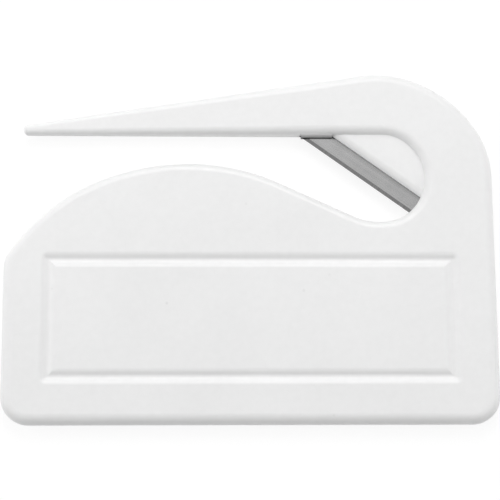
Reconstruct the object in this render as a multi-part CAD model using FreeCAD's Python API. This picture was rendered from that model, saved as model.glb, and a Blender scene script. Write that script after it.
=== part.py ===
import FreeCAD, Part
import math
import os

# A flat, hand-held letter opener: two moulded half shells that hold a ground steel blade between them.
# It lies on its back. X runs along its straight foot, Y from the foot up to the pointed arm, and Z out of
# its front. Lengths are in millimetres. All of it is drawn with the foot at Y = 0, and the finished
# pieces are then moved so that the origin is in the middle of the back.

# Sizes of the plate, seen from the front
plate_width = 85.0
side_height = 28.5  # foot to the corner where the hump starts
hump_rise = 17.1  # that corner to the hump's crest
mouth_gap = 5.4  # the crest to the arm's straight underside
loop_height = 11.2  # the arm's underside to the top of the loop
loop_side = 11.8  # the throat's inner end to the right side
loop_radius = 20.0  # mean radius of the loop's outer curve
throat_width = 15.65  # the arm's underside to the throat's floor
hump_radius = 38.0
foot_radius = 4.8
shoulder_radius = 4.5

# Sizes of the plate's thickness and rounded edges
plate_thickness = 4.0
rim_radius = 1.75  # outer edges
mouth_rim_radius = 1.5  # edges of the hump, the throat and the arm's underside

# Sizes of the pointed arm, which thins towards its tip
arm_root_setback = 16.7  # the throat's inner end to the place where the thinning starts
tip_setback = 2.8  # the tip stays this far inside the plate's left side
tip_width = 1.8
tip_thickness = 2.2
tip_rim_radius = 0.8

# Curves of the outline as corners that are rounded off: two places and a radius for each.
# The loop is measured from the plate's upper right corner, in shares of the loop radius.
loop_shares = [(0, -0.715, 0.82), (-0.32, -0.185, 1.08), (-0.915, 0.0255, 0.93)]
# The throat is measured from its inner end at the arm's underside, in shares of the throat width.
throat_shares = [(-0.275, 0, 0.416), (-0.04, -0.288, 0.404), (0.037, -0.949, 0.474),
                 (-0.645, -1.019, 0.671)]
# The hump takes shares of the half width, of its rise above the side and of the hump radius.
hump_shares = [(-0.061, 1.009, 1.0), (-0.414, 0.997, 1.05), (-0.826, 0.651, 0.9)]

# The blade: a strip with one ground edge, in a pocket that is half in each shell
blade_setback = 21.95  # the throat's inner end to the place where the edge leaves the arm
blade_angle = 36.0  # degrees below the X axis
blade_width = 6.0
blade_thickness = 0.4
blade_anchor = 4.0  # length held in the arm
blade_tail = 6.0  # length held beyond the throat
blade_bevel = 0.58  # width of the grinding on each side
blade_edge_land = 0.03
blade_hole_radius = 1.0
blade_hole_inset = 2.3  # from the strip's ends
blade_hole_height = 3.4  # above the cutting edge
pocket_clearance = 0.1
slot_relief_height = 0.3  # shallow relief over the blade where it enters the arm
slot_relief_depth = 0.8
slot_lip_width = 0.4  # lip of the arm's wall that leans out over the blade there
slot_lip_rise = 0.45

# The web: a thin wall that fills the throat behind the blade and backs it
web_recess = 1.05  # below each face of the plate
bare_width = 3.35  # width of blade that the web leaves bare
web_lip_width = 1.35  # rounded lip along the blade
web_lip_drop = 0.65
web_overlap = 1.5  # how far the web runs into the throat's walls

# The groove that frames the blank panel
panel_margin = 6.8  # from the sides to the groove's outer lip
panel_base = 7.0  # from the foot to the groove's outer lip
panel_rise = 0.8  # from the shoulder's corner up to the groove's outer lip at the top
groove_width = 2.05
groove_depth = 0.5
groove_wall = 0.8  # width of each sloping wall
groove_corner_radius = 0.15  # at the floor; it grows up the outer wall
groove_floor_radius = 0.75
groove_lip_radius = 1.3

# Locating pins of the back shell, in sockets of the front shell
pin_radius = 1.2
pin_height = 1.2
pin_chamfer = 0.2
pin_clearance = 0.05
socket_depth = 1.4
panel_pin_inset = 4.5  # from the groove's outer lip to the pins at the panel's corners
crest_pin_depth = 7.5  # the hump's crest to the pin under it
crest_pin_share = -0.25  # place of that pin, in shares of the half width

overrun = 0.5  # how far every cutting shape runs past what it cuts

# Places that follow from the sizes above
half_width = plate_width / 2
middle = plate_thickness / 2
crest_height = side_height + hump_rise
arm_height = crest_height + mouth_gap
plate_height = arm_height + loop_height
throat_end = half_width - loop_side
arm_root = throat_end - arm_root_setback
panel_height = side_height + panel_rise - panel_base  # over the groove's outer lips
tip_radius = tip_width / 2
tip_centre = FreeCAD.Vector(-half_width + tip_setback + tip_radius, arm_height + tip_radius, 0)
web_top = plate_thickness - web_recess
blade_start = FreeCAD.Vector(throat_end - blade_setback, arm_height, middle)
blade_turn = math.radians(blade_angle)
blade_along = FreeCAD.Vector(math.cos(blade_turn), -math.sin(blade_turn), 0)
blade_across = FreeCAD.Vector(math.sin(blade_turn), math.cos(blade_turn), 0)
same_place = 1e-6
up = FreeCAD.Vector(0, 0, 1)


def point(x, y, z=0.0):
    return FreeCAD.Vector(x, y, z)


def line(start, end):
    return Part.LineSegment(start, end).toShape()


def polygon(points):
    return Part.Wire([line(points[i - 1], points[i]) for i in range(len(points))])


def prism(wire, height):
    return Part.Face(wire).extrude(up * height)


def rounded_outline(corners, z):
    """A closed wire through corners given as x, y and radius, each rounded as far as its two sides allow."""
    count = len(corners)
    places = [point(x, y, z) for x, y, radius in corners]
    tangents = []
    for i in range(count):
        to_last = places[i - 1] - places[i]
        to_next = places[(i + 1) % count] - places[i]
        tangents.append(corners[i][2] / math.tan(to_last.getAngle(to_next) / 2))
    edges = []
    ends = []
    for i in range(count):
        to_last = places[i - 1] - places[i]
        to_next = places[(i + 1) % count] - places[i]
        needed_before = max(tangents[i] + tangents[i - 1], same_place)
        needed_after = max(tangents[i] + tangents[(i + 1) % count], same_place)
        fit = min(1.0, to_last.Length / needed_before, to_next.Length / needed_after)
        half_angle = to_last.getAngle(to_next) / 2
        radius = fit * tangents[i] * math.tan(half_angle)
        to_last.normalize()
        to_next.normalize()
        start = places[i] + to_last * (fit * tangents[i])
        end = places[i] + to_next * (fit * tangents[i])
        inward = (to_last + to_next).normalize()
        turning_point = places[i] + inward * (radius / math.sin(half_angle) - radius)
        if ends and (start - ends[-1]).Length > same_place:
            edges.append(line(ends[-1], start))
        if radius > same_place:
            edges.append(Part.Arc(start, turning_point, end).toShape())
        ends.extend([start, end])
    if (ends[0] - ends[-1]).Length > same_place:
        edges.append(line(ends[-1], ends[0]))
    return Part.Wire(edges)


def loop_corners():
    corners = []
    for x_share, y_share, radius_share in loop_shares:
        x = half_width + x_share * loop_radius
        corners.append((x, plate_height + y_share * loop_radius, radius_share * loop_radius))
    return corners


def arm_slope():
    """Angle of the arm's upper edge, from the tip to the loop's last corner."""
    x, y, radius = loop_corners()[-1]
    return math.atan2(y - arm_height - tip_width, x - tip_centre.x)


def plate_corners():
    """The plate's outline, anticlockwise from the foot, with the arm cut off square at its root."""
    corners = [(-half_width, 0, foot_radius), (half_width, 0, foot_radius)]
    corners += loop_corners()
    arm_top = arm_height + tip_width + (arm_root - tip_centre.x) * math.tan(arm_slope())
    corners += [(arm_root, arm_top, 0), (arm_root, arm_height, 0)]
    for x_share, y_share, radius_share in throat_shares:
        x = throat_end + x_share * throat_width
        corners.append((x, arm_height + y_share * throat_width, radius_share * throat_width))
    for x_share, y_share, radius_share in hump_shares:
        x = x_share * half_width
        corners.append((x, side_height + y_share * hump_rise, radius_share * hump_radius))
    corners.append((-half_width, side_height, shoulder_radius))
    return corners


def rim_radius_at(vertex):
    """Rounding of the rim at a corner of the outline: smaller from the hump to the arm's underside."""
    inner_side = vertex.X < half_width - loop_side / 2 and vertex.X > -half_width + same_place
    inner_height = side_height < vertex.Y < arm_height + same_place
    return mouth_rim_radius if inner_side and inner_height else rim_radius


def rounded_plate():
    """The front half of the plate without its arm, with its rim rounded except at the arm's root."""
    plate = prism(rounded_outline(plate_corners(), middle), plate_thickness - middle)
    radii = []
    for number, edge in enumerate(plate.Edges, start=1):
        on_face = all(vertex.Z > plate_thickness - same_place for vertex in edge.Vertexes)
        on_root = all(abs(vertex.X - arm_root) < same_place for vertex in edge.Vertexes)
        if on_face and not on_root:
            radii.append((number, rim_radius_at(edge.Vertexes[0]), rim_radius_at(edge.Vertexes[-1])))
    document = FreeCAD.newDocument("rim")
    sharp = document.addObject("Part::Feature", "sharp")
    sharp.Shape = plate
    rounding = document.addObject("Part::Fillet", "rounding")
    rounding.Base = sharp
    rounding.Edges = radii
    document.recompute()
    rounded = rounding.Shape.copy()
    FreeCAD.closeDocument(document.Name)
    return rounded


def tip_section(across, half):
    """The arm's section at its tip, or the half of it next to the underside."""
    rise = tip_thickness / 2
    radius = min(tip_rim_radius, tip_radius, rise)
    shoulder = radius * (1 - math.sqrt(0.5))

    def place(sideways, height):
        return tip_centre + across * sideways + up * (middle + height)

    low = [place(-tip_radius, 0), place(-tip_radius, rise - radius), place(-tip_radius + radius, rise)]
    low_edges = [line(low[0], low[1])] if rise > radius else []
    low_edges.append(Part.Arc(low[1], place(-tip_radius + shoulder, rise - shoulder), low[2]).toShape())
    if half:
        return Part.Wire(low_edges + [line(low[2], place(0, rise)), line(place(0, rise), place(0, 0)),
                                      line(place(0, 0), low[0])])
    high = [place(tip_radius - radius, rise), place(tip_radius, rise - radius), place(tip_radius, 0)]
    high_arc = Part.Arc(high[0], place(tip_radius - shoulder, rise - shoulder), high[1]).toShape()
    high_edges = [line(low[2], high[0]), high_arc, line(high[1], high[2]), line(high[2], low[0])]
    return Part.Wire(low_edges + high_edges)


def tapered_arm(plate):
    """The arm, from the section that the plate has at the arm's root to a rounded tip."""
    slant = arm_slope() / 2
    across = point(-math.sin(slant), math.cos(slant))
    root = [face for face in plate.Faces
            if all(abs(vertex.X - arm_root) < same_place for vertex in face.Vertexes)]
    arm = Part.makeLoft([root[0].OuterWire, tip_section(across, False)], True, True)
    cap = Part.Face(tip_section(across, True)).revolve(tip_centre, up, -180)
    return arm, cap


def bare_stretch(start):
    """Length from a place on the arm's underside, along the blade, that lies in the open throat."""
    outline = Part.Face(rounded_outline(plate_corners(), start.z))
    inside = start + blade_along * overrun
    reach = throat_width / math.sin(blade_turn)
    free = line(inside, inside + blade_along * reach).cut(outline)
    nearest = min(free.Edges, key=lambda edge: edge.distToShape(Part.Vertex(inside))[0])
    return nearest.Length + overrun


def along_blade(shape):
    """Moves a shape from the strip's own axes, which start where the edge leaves the arm, to the plate."""
    placement = FreeCAD.Placement(blade_start, FreeCAD.Rotation(up, -blade_angle))
    shape.Placement = placement.multiply(shape.Placement)
    return shape


def lip_stretch():
    """Where the web's lip crosses the open throat: its start along the strip's axes, and its length."""
    lip_start = blade_start + point(bare_width / math.sin(blade_turn), 0)
    return bare_width / math.tan(blade_turn), bare_stretch(lip_start)


def web():
    """The front half of the web: a D of a thin wall, with its straight side along the blade still sharp."""
    start, length = lip_stretch()
    radius = length / 2 + web_overlap
    height = web_top - middle
    corner = point(start + length / 2 - radius, bare_width)
    block = Part.makeBox(2 * radius, radius + overrun, height, corner)
    disc = Part.makeCylinder(radius, height + 2 * overrun, point(start + length / 2, bare_width, -overrun))
    return along_blade(block.common(disc))


def lip_cutter():
    """What is cut from the web's straight side to round its lip, with a slanted end towards the web."""
    start, length = lip_stretch()
    height = web_top - middle
    foot = point(0, bare_width, height - web_lip_drop)
    top = point(0, bare_width + web_lip_width, height)
    radius = (web_lip_width ** 2 + web_lip_drop ** 2) / (2 * web_lip_drop)
    half_turn = math.asin(web_lip_width / radius) / 2
    arc_middle = top - point(0, radius * math.sin(half_turn), radius * (1 - math.cos(half_turn)))
    section = Part.Wire([
        Part.Arc(foot, arc_middle, top).toShape(),
        line(top, top + point(0, overrun, overrun)),
        line(top + point(0, overrun, overrun), point(0, bare_width - overrun, height + overrun)),
        line(point(0, bare_width - overrun, height + overrun), foot - point(0, overrun)),
        line(foot - point(0, overrun), foot),
    ])
    cutter = Part.Face(section).extrude(point(length + 2 * web_overlap, 0))
    cutter.translate(point(start - web_overlap, 0))
    return along_blade(cutter)


def slot_stretch():
    """Start and length along X of the slot in the arm's wall, set back a little from the blade's edge."""
    setback = slot_lip_width / math.tan(blade_turn) / 2
    return setback, bare_width / math.sin(blade_turn) - setback


def slot_lip():
    """The front half of the lip on the arm's wall, along the stretch where the bare blade enters the arm."""
    setback, length = slot_stretch()
    start = blade_start + point(setback, -slot_lip_width)
    ledge = up * (blade_thickness / 2 + slot_relief_height)
    inner = start + point(0, 2 * slot_lip_width)
    section = polygon([start, start + ledge, inner + ledge + up * (2 * slot_lip_rise), inner])
    return Part.Face(section).extrude(point(length, 0))


def frustum(width, height, centre, wall, floor_radius):
    """A block with sloping sides, from the groove's floor up past the face; a negative wall leans in."""
    wires = []
    for lift in (0, groove_depth + overrun):
        spread = wall * (lift / groove_depth - 1)
        half_x = width / 2 + spread
        half_y = height / 2 + spread
        radius = floor_radius + max(wall, 0) * lift / groove_depth
        corners = [(-half_x, -half_y, radius), (half_x, -half_y, radius), (half_x, half_y, radius),
                   (-half_x, half_y, radius)]
        wire = rounded_outline(corners, plate_thickness - groove_depth + lift)
        wire.translate(centre)
        wires.append(wire)
    return Part.makeLoft(wires, True, True)


def groove():
    """The cutting shape of the groove round the panel."""
    width = plate_width - 2 * panel_margin
    centre = point(0, panel_base + panel_height / 2)
    outer = frustum(width, panel_height, centre, groove_wall, groove_corner_radius)
    inner = frustum(width - 2 * groove_width, panel_height - 2 * groove_width, centre, -groove_wall, 0)
    ring = outer.cut(inner)
    floor = plate_thickness - groove_depth
    floor_edges = [edge for edge in ring.Edges
                   if all(abs(vertex.Z - floor) < same_place for vertex in edge.Vertexes)]
    return ring.makeFillet(groove_floor_radius, floor_edges)


def round_groove_lips(shell):
    """Rounds the edges where the groove's walls meet the face."""
    lips = []
    for edge in shell.Edges:
        box = edge.BoundBox
        on_face = box.ZMin > plate_thickness - same_place
        beside = max(-box.XMin, box.XMax) < half_width - panel_margin + same_place
        low_enough = box.YMax < panel_base + panel_height + same_place
        if on_face and beside and low_enough and box.YMin > panel_base - same_place:
            lips.append(edge)
    return shell.makeFillet(groove_lip_radius, lips)


def blade_length():
    return blade_anchor + bare_stretch(blade_start) + blade_tail


def blade_hole_places():
    """Places along the strip of its two locating holes, from where the edge leaves the arm."""
    return [blade_hole_inset - blade_anchor, blade_length() - blade_anchor - blade_hole_inset]


def blade():
    """A flat strip, ground on both sides along one edge, with a locating hole at each end."""
    half_land = blade_edge_land / 2
    half_thickness = blade_thickness / 2
    section = polygon([
        point(0, 0, -half_land),
        point(0, blade_bevel, -half_thickness),
        point(0, blade_width, -half_thickness),
        point(0, blade_width, half_thickness),
        point(0, blade_bevel, half_thickness),
        point(0, 0, half_land),
    ])
    strip = Part.Face(section).extrude(point(blade_length(), 0))
    strip.translate(point(-blade_anchor, 0))
    for place in blade_hole_places():
        hole_base = point(place, blade_hole_height, -half_thickness - overrun)
        strip = strip.cut(Part.makeCylinder(blade_hole_radius, blade_thickness + 2 * overrun, hole_base))
    return along_blade(strip)


def blade_pocket():
    """The hollow for the blade, with a shallow relief above it where it enters the arm."""
    length = blade_length() + 2 * pocket_clearance
    pocket = Part.makeBox(length, blade_width + 2 * pocket_clearance, blade_thickness,
                          point(-blade_anchor - pocket_clearance, -pocket_clearance, -blade_thickness / 2))
    setback, slot_length = slot_stretch()
    relief_height = blade_thickness / 2 + slot_relief_height
    relief = Part.makeBox(slot_length, slot_relief_depth + overrun, 2 * relief_height,
                          blade_start + point(setback, -overrun, -relief_height))
    return along_blade(pocket).fuse(relief)


def half_shell():
    """What both shells share, drawn as the front one."""
    plate = rounded_plate()
    arm, cap = tapered_arm(plate)
    plate = plate.fuse([arm, cap]).removeSplitter()
    shell = plate.fuse(web()).cut(lip_cutter().cut(plate)).fuse(slot_lip())
    shell = round_groove_lips(shell.cut(groove()))
    return shell.cut(blade_pocket())


def pin_places():
    """Places of the round pins: at the panel's corners, under the hump's crest and beside the throat."""
    x = half_width - panel_margin - panel_pin_inset
    low = panel_base + panel_pin_inset
    high = panel_base + panel_height - panel_pin_inset
    places = [point(-x, low), point(x, low), point(-x, high), point(x, high)]
    places.append(point(crest_pin_share * half_width, crest_height - crest_pin_depth))
    places.append(point(half_width - loop_side / 2, arm_height - throat_width / 2))
    return places


def pins():
    """The locating pins, and the two thinner ones that pass through the blade's holes."""
    shapes = []
    for place in pin_places():
        pin = Part.makeCylinder(pin_radius, pin_height + overrun, place + up * (middle - overrun))
        top = max(pin.Edges, key=lambda edge: edge.BoundBox.ZMin)
        shapes.append(pin.makeChamfer(pin_chamfer, [top]))
    for along in blade_hole_places():
        base = point(along, blade_hole_height, -blade_thickness / 2 - overrun)
        height = pin_height + blade_thickness / 2 + overrun
        post = Part.makeCylinder(blade_hole_radius - pocket_clearance, height, base)
        top = max(post.Edges, key=lambda edge: edge.BoundBox.ZMin)
        shapes.append(along_blade(post.makeChamfer(pin_chamfer, [top])))
    return shapes


def sockets():
    shapes = []
    for place in pin_places():
        depth = socket_depth + overrun
        shapes.append(Part.makeCylinder(pin_radius + pin_clearance, depth, place + up * (middle - overrun)))
    for along in blade_hole_places():
        radius = blade_hole_radius - pocket_clearance + pin_clearance
        base = point(along, blade_hole_height, -overrun)
        shapes.append(along_blade(Part.makeCylinder(radius, socket_depth + overrun, base)))
    return shapes


def front_shell(half):
    return half.cut(sockets())


def back_shell(half):
    return half.mirror(point(0, 0, middle), up).fuse(pins())


def main():
    os.makedirs("parts", exist_ok=True)
    outline = rounded_outline(plate_corners(), 0)
    centre = point(0, outline.BoundBox.Center.y)
    half = half_shell()
    pieces = {"front_shell": front_shell(half), "back_shell": back_shell(half), "blade": blade()}
    for name, piece in pieces.items():
        solid = piece.Solids[0].copy()
        solid.translate(-centre)
        solid.exportStep("parts/" + name + ".step")
        print(name, len(piece.Solids), solid.isValid(), round(solid.Volume, 1))


main()
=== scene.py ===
import math

import bpy
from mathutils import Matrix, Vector


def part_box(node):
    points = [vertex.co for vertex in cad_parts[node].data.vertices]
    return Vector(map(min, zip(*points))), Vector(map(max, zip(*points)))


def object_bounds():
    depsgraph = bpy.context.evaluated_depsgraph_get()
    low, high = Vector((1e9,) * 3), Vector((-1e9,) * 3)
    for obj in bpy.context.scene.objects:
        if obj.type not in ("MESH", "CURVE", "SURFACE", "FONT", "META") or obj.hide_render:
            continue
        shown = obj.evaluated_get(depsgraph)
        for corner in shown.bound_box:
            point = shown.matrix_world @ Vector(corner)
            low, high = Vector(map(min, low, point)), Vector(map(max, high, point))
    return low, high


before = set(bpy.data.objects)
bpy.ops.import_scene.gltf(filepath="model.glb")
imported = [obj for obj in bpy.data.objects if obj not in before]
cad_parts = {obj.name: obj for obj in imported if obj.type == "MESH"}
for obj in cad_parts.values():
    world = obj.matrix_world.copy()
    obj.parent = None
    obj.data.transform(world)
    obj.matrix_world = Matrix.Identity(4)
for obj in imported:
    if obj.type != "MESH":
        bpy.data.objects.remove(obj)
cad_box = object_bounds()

# A flat white letter opener that lies on its back on a pale floor. Lengths are in metres, in the CAD frame:
# X along the straight foot, Y from the foot to the pointed arm, Z out of the front face. Tones and
# roughness run from 0 to 1, and texture scales are features per metre.

mm = 0.001
middle = (cad_box[0] + cad_box[1]) / 2  # centre of the object's box

# The camera of the photograph
camera_place = Vector((-9.54, -64.04, 279.22)) * mm
camera_turn = (12.869, -1.906, 0.078)  # degrees about X, Y and Z, applied in the order Z, Y, X
camera_lens = 118.08  # for a sensor 36 wide
sensor_width = 36.0
camera_clip_start = 10 * mm

# The floor and the world
floor_half = 1500 * mm
floor_grey = 0.92
floor_glow = 1.06
floor_glow_share = 0.8  # share of the floor's look that is plain white, so that shadows stay faint
world_level = 0.275

# The lamps: name, heading from +Y towards +X and elevation in degrees, width, height, radiance, and whether
# shiny surfaces mirror it. Only the back lamp is mirrored: the overhead one would put a bright square in
# the blade, and the side ones would turn the face white in a low view.
lamp_distance = 500 * mm
lamps = [
    ("overhead_softbox", 0, 70, 500 * mm, 500 * mm, 0.47, False),
    ("back_softbox", 0, 45, 400 * mm, 300 * mm, 2.8, True),
    ("left_softbox", 270, 30, 400 * mm, 300 * mm, 2.7, False),
    ("right_softbox", 90, 30, 400 * mm, 300 * mm, 2.1, False),
]

# The blade: its edge line is worked out from its box. Distances across it start at that line.
blade_angle = math.radians(36)
blade_width = 6 * mm
blade_low, blade_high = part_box("blade")
edge_line = (blade_low[0] * math.sin(blade_angle)
             + (blade_high[1] - blade_width * math.cos(blade_angle)) * math.cos(blade_angle))
web_seam = 3.35 * mm  # where the web's lip lies on the blade, across it from its edge

# The arm's narrow lip over the blade
arm_seam = 19.5 * mm  # height of its lower edge, in Y
lip_start = 8.7 * mm  # its ends, in X
lip_end = 14.6 * mm
lip_top = 3.0 * mm  # in Z

# The plastic
plastic_tone = 0.86
plastic_ior = 1.49
plastic_roughness = (0.3, 0.42)
roughness_scale = 300.0
blotch_scale = 70.0
blotch_tone = 0.012
mottling_scale = 900.0
mottling_tone = 0.008
grain_scale = 3500.0
grain_depth = 0.01 * mm
grain_strength = 0.25
wave_scale = 110.0
wave_depth = 0.02 * mm
wave_strength = 0.6
speck_scale = 210.0
speck_cell_shares = (0.03, 0.07)  # a speck is dark up to the first share of a cell, and gone at the second
speckless_share = 0.72  # share of the cells without a speck
speck_tone = 0.09
parting_line_reach = (0.02 * mm, 0.05 * mm)  # off the middle plane: dark up to one, gone at the other
parting_line_tone = 0.16

# Painted shade on the arm's lip: a darker tone put into the plastic's colour
painted_shade_height = 0.5 * mm
painted_shade_tones = (0.6, 0.2)  # at the lip's lower edge, and at its foot on the arm's wall
painted_shade_fade = 0.2 * mm
painted_shade_edge = 0.1 * mm
lip_top_fade = 0.15 * mm

# The steel
flat_tones = (0.335, 0.36)
flat_scale = 400.0
flat_roughness = 0.24
streak_scales = (80.0, 3500.0, 1.0)  # along the blade, across it and through it
streak_tone = 0.012
streak_depth = 0.003 * mm
streak_strength = 0.1
bevel_tones = (0.15, 0.24)
bevel_scales = (9000.0, 500.0, 1.0)
bevel_roughness = 0.32
bevel_slope_shares = (0.97, 0.99)  # how much a surface faces up: bevel up to one, flat from the other
darkest_tone = 0.03

# Painted shade on the steel along its seams with the web's lip and the arm: the two distances from a seam
# between which it fades, and its tone
web_shade_line = (0.02 * mm, 0.2 * mm, 0.14)
web_broad_shade = (0.0, 0.9 * mm, 0.08)
arm_shade_line = (0.05 * mm, 0.3 * mm, 0.2)

# What most noise values lie between
noise_low = 0.3
noise_high = 0.7


def node(tree, kind, **values):
    """Adds a shader node and sets its properties, or its inputs where a name starts with a capital."""
    made = tree.nodes.new(kind)
    for name, value in values.items():
        if name[0].isupper():
            made.inputs[name.replace("_", " ")].default_value = value
        else:
            setattr(made, name, value)
    return made


def link(tree, source, target):
    tree.links.new(source, target)


def math_node(tree, operation, first, second=None):
    """A maths node whose operands are sockets or numbers; returns its result."""
    made = node(tree, "ShaderNodeMath", operation=operation)
    for place, operand in enumerate((first, second)):
        if operand is None:
            continue
        if isinstance(operand, (int, float)):
            made.inputs[place].default_value = operand
        else:
            link(tree, operand, made.inputs[place])
    return made.outputs[0]


def ramp(tree, value, low, high, low_result, high_result):
    """Maps a value from one range to another, held at the ends; returns the result."""
    made = node(tree, "ShaderNodeMapRange", clamp=True, From_Min=low, From_Max=high, To_Min=low_result,
                To_Max=high_result)
    link(tree, value, made.inputs["Value"])
    return made.outputs["Result"]


def grey(tree, value):
    """A grey colour from one number."""
    made = node(tree, "ShaderNodeCombineColor")
    for channel in made.inputs:
        link(tree, value, channel)
    return made.outputs["Color"]


def axes(tree, vector):
    """The three numbers of a vector, by the names X, Y and Z."""
    made = node(tree, "ShaderNodeSeparateXYZ")
    link(tree, vector, made.inputs["Vector"])
    return made.outputs


def mapped(tree, vector, **values):
    """A vector that is turned or scaled."""
    made = node(tree, "ShaderNodeMapping", vector_type="POINT", **values)
    link(tree, vector, made.inputs["Vector"])
    return made.outputs["Vector"]


def noise(tree, vector, scale, detail=2.0):
    made = node(tree, "ShaderNodeTexNoise", Scale=scale, Detail=detail, Roughness=0.5)
    link(tree, vector, made.inputs["Vector"])
    return made.outputs["Fac"]


def varied(tree, vector, scale, results, detail=2.0):
    """Noise that is spread between two results."""
    return ramp(tree, noise(tree, vector, scale, detail), noise_low, noise_high, *results)


def bump(tree, height, strength, depth, under=None):
    """A bumpy normal, on top of another one if given."""
    made = node(tree, "ShaderNodeBump", Strength=strength, Distance=depth)
    link(tree, height, made.inputs["Height"])
    if under is not None:
        link(tree, under, made.inputs["Normal"])
    return made.outputs["Normal"]


def new_tree(owner, output_kind):
    """Empties the node tree of a material or a world; returns it with its new output."""
    owner.use_nodes = True
    tree = owner.node_tree
    tree.nodes.clear()
    return tree, node(tree, output_kind)


def new_material(name):
    material = bpy.data.materials.new(name)
    tree, output = new_tree(material, "ShaderNodeOutputMaterial")
    shader = node(tree, "ShaderNodeBsdfPrincipled")
    link(tree, shader.outputs["BSDF"], output.inputs["Surface"])
    return material, tree, shader


def camera_ray_switch(tree):
    """1 for rays that show a background: those from the camera, and those seen in metal or through glass."""
    path = node(tree, "ShaderNodeLightPath")
    seen = math_node(tree, "MAXIMUM", path.outputs["Is Camera Ray"], path.outputs["Is Glossy Ray"])
    return math_node(tree, "MAXIMUM", seen, path.outputs["Is Transmission Ray"])


def specks(tree, place):
    """How much darker the plastic is in its few tiny specks."""
    cells = node(tree, "ShaderNodeTexVoronoi", Scale=speck_scale)
    link(tree, place, cells.inputs["Vector"])
    size = ramp(tree, cells.outputs["Distance"], *speck_cell_shares, 1.0, 0.0)
    cell_colour = node(tree, "ShaderNodeSeparateColor")
    link(tree, cells.outputs["Color"], cell_colour.inputs["Color"])
    chosen = ramp(tree, cell_colour.outputs["Red"], speckless_share, 1.0, 0.0, speck_tone)
    return math_node(tree, "MULTIPLY", size, chosen)


def lip_painted_shade(tree, parts):
    """Painted shade: how much darker the plastic is on the arm's narrow lip, a tone matched to the
    photograph.
    """
    lip_foot = arm_seam + painted_shade_height
    # Painted shade: darkest at the lip's lower edge, fading towards its foot on the arm's wall
    painted_shade = ramp(tree, parts["Y"], arm_seam, lip_foot, *painted_shade_tones)
    borders = [
        ramp(tree, parts["X"], lip_start, lip_start + painted_shade_fade, 0.0, 1.0),
        ramp(tree, parts["X"], lip_end - painted_shade_fade, lip_end + painted_shade_fade, 1.0, 0.0),
        ramp(tree, parts["Y"], arm_seam - painted_shade_edge, arm_seam, 0.0, 1.0),
        ramp(tree, parts["Y"], lip_foot, lip_foot + painted_shade_fade, 1.0, 0.0),
        ramp(tree, parts["Z"], lip_top - lip_top_fade, lip_top + lip_top_fade, 1.0, 0.0),
    ]
    for border in borders:
        painted_shade = math_node(tree, "MULTIPLY", painted_shade, border)
    return painted_shade


def white_plastic():
    """Moulded white plastic: blotches, specks, the parting line, painted shade on the lip and a satin
    texture.
    """
    material, tree, shader = new_material("white_plastic")
    place = node(tree, "ShaderNodeTexCoord").outputs["Object"]
    parts = axes(tree, place)
    blotches = varied(tree, place, blotch_scale, (-blotch_tone, blotch_tone), detail=3.0)
    mottling = varied(tree, place, mottling_scale, (-mottling_tone, mottling_tone))
    from_middle = math_node(tree, "ABSOLUTE", math_node(tree, "SUBTRACT", parts["Z"], middle.z))
    parting_line = ramp(tree, from_middle, *parting_line_reach, parting_line_tone, 0.0)
    tone = math_node(tree, "ADD", blotches, mottling)
    # The last of these is painted shade on the arm's lip
    for darker in (specks(tree, place), parting_line, lip_painted_shade(tree, parts)):
        tone = math_node(tree, "SUBTRACT", tone, darker)
    tone = math_node(tree, "ADD", tone, plastic_tone)
    link(tree, grey(tree, tone), shader.inputs["Base Color"])
    satin = varied(tree, place, roughness_scale, plastic_roughness, detail=3.0)
    link(tree, satin, shader.inputs["Roughness"])
    shader.inputs["IOR"].default_value = plastic_ior
    grain = bump(tree, noise(tree, place, grain_scale), grain_strength, grain_depth)
    waves = bump(tree, noise(tree, place, wave_scale, detail=1.0), wave_strength, wave_depth, grain)
    link(tree, waves, shader.inputs["Normal"])
    return material


def seam_painted_shade(tree, place, turned):
    """Painted shade: how much darker the blade is along its seams with the web's lip and with the arm."""
    from_web = math_node(tree, "SUBTRACT", edge_line + web_seam, axes(tree, turned)["Y"])
    from_arm = math_node(tree, "SUBTRACT", arm_seam, axes(tree, place)["Y"])
    stripes = []
    # Each stripe is painted shade along a seam
    for distance, (near, far, tone) in ((from_web, web_shade_line), (from_web, web_broad_shade), (from_arm, arm_shade_line)):
        stripes.append(ramp(tree, distance, near, far, tone, 0.0))
    web_seam_painted_shade = math_node(tree, "ADD", stripes[0], stripes[1])
    return math_node(tree, "ADD", web_seam_painted_shade, stripes[2])


def ground_steel():
    """Blade steel: a rolled flat with faint streaks along it, a darker bevel ground across its edge, and
    painted shade along its seams.
    """
    material, tree, shader = new_material("ground_steel")
    place = node(tree, "ShaderNodeTexCoord").outputs["Object"]
    turned = mapped(tree, place, Rotation=(0, 0, blade_angle))
    streaks = mapped(tree, turned, Scale=streak_scales)
    scratches = mapped(tree, turned, Scale=bevel_scales)
    facing = axes(tree, node(tree, "ShaderNodeNewGeometry").outputs["True Normal"])
    on_bevel = ramp(tree, math_node(tree, "ABSOLUTE", facing["Z"]), *bevel_slope_shares, 1.0, 0.0)
    streaky = varied(tree, streaks, 1.0, (-streak_tone, streak_tone))
    tone = node(tree, "ShaderNodeMix", data_type="FLOAT")
    cloudy = varied(tree, place, flat_scale, flat_tones, detail=3.0)
    link(tree, on_bevel, tone.inputs["Factor"])
    link(tree, math_node(tree, "ADD", streaky, cloudy), tone.inputs["A"])
    link(tree, varied(tree, scratches, 1.0, bevel_tones), tone.inputs["B"])
    # The blade's colour is darkened here by painted shade along its seams
    painted_shade_tone = math_node(tree, "SUBTRACT", tone.outputs["Result"], seam_painted_shade(tree, place, turned))
    link(tree, grey(tree, math_node(tree, "MAXIMUM", painted_shade_tone, darkest_tone)), shader.inputs["Base Color"])
    shader.inputs["Metallic"].default_value = 1.0
    link(tree, ramp(tree, on_bevel, 0.0, 1.0, flat_roughness, bevel_roughness), shader.inputs["Roughness"])
    grain = bump(tree, noise(tree, streaks, 1.0, detail=3.0), streak_strength, streak_depth)
    link(tree, grain, shader.inputs["Normal"])
    return material


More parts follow.
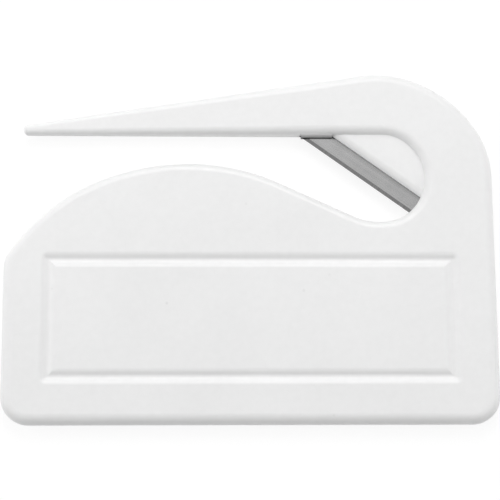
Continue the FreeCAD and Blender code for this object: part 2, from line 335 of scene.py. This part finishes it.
def floor_material():
    """Pale floor: a diffuse grey for the light, and mostly plain white where it is seen."""
    material = bpy.data.materials.new("pale_floor")
    tree, output = new_tree(material, "ShaderNodeOutputMaterial")
    diffuse = node(tree, "ShaderNodeBsdfDiffuse", Color=(floor_grey, floor_grey, floor_grey, 1))
    glow = node(tree, "ShaderNodeEmission", Strength=floor_glow)
    mix = node(tree, "ShaderNodeMixShader")
    link(tree, math_node(tree, "MULTIPLY", camera_ray_switch(tree), floor_glow_share), mix.inputs[0])
    link(tree, diffuse.outputs[0], mix.inputs[1])
    link(tree, glow.outputs[0], mix.inputs[2])
    link(tree, mix.outputs[0], output.inputs["Surface"])
    return material


def make_floor():
    mesh = bpy.data.meshes.new("floor")
    corners = [(-floor_half, -floor_half, 0), (floor_half, -floor_half, 0), (floor_half, floor_half, 0),
               (-floor_half, floor_half, 0)]
    mesh.from_pydata(corners, [], [(0, 1, 2, 3)])
    floor = bpy.data.objects.new("floor", mesh)
    floor.location.z = cad_box[0].z
    mesh.materials.append(floor_material())
    bpy.context.scene.collection.objects.link(floor)


def make_world():
    """An even grey sky for the light, which is white where it is seen."""
    world = bpy.data.worlds.new("studio")
    bpy.context.scene.world = world
    tree, output = new_tree(world, "ShaderNodeOutputWorld")
    background = node(tree, "ShaderNodeBackground", Color=(1, 1, 1, 1))
    strength = ramp(tree, camera_ray_switch(tree), 0.0, 1.0, world_level, 1.0)
    link(tree, strength, background.inputs["Strength"])
    link(tree, background.outputs[0], output.inputs["Surface"])


def softbox(name, heading, elevation, width, height, radiance, mirrored):
    """A rectangular lamp that faces the object."""
    turn = math.radians(heading)
    rise = math.radians(elevation)
    away = Vector((math.sin(turn) * math.cos(rise), math.cos(turn) * math.cos(rise), math.sin(rise)))
    lamp = bpy.data.lights.new(name, "AREA")
    lamp.shape = "RECTANGLE"
    lamp.size = width
    lamp.size_y = height
    lamp.energy = radiance * math.pi * width * height
    holder = bpy.data.objects.new(name, lamp)
    holder.location = middle + away * lamp_distance
    holder.rotation_mode = "QUATERNION"
    holder.rotation_quaternion = away.to_track_quat("Z", "Y")
    holder.visible_camera = False
    holder.visible_glossy = mirrored
    bpy.context.scene.collection.objects.link(holder)


def make_camera():
    lens = bpy.data.cameras.new("camera")
    lens.sensor_width = sensor_width
    lens.lens = camera_lens
    lens.clip_start = camera_clip_start
    camera = bpy.data.objects.new("camera", lens)
    camera.location = camera_place
    camera.rotation_mode = "ZYX"
    camera.rotation_euler = [math.radians(angle) for angle in camera_turn]
    bpy.context.scene.collection.objects.link(camera)
    bpy.context.scene.camera = camera


def dress(name, material):
    """Gives a CAD node its finish."""
    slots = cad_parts[name].data.materials
    slots.clear()
    slots.append(material)


plastic = white_plastic()
dress("front_shell", plastic)
dress("back_shell", plastic)
dress("blade", ground_steel())
make_floor()
make_world()
for lamp_values in lamps:
    softbox(*lamp_values)
make_camera()
bpy.context.scene.view_settings.view_transform = "Standard"
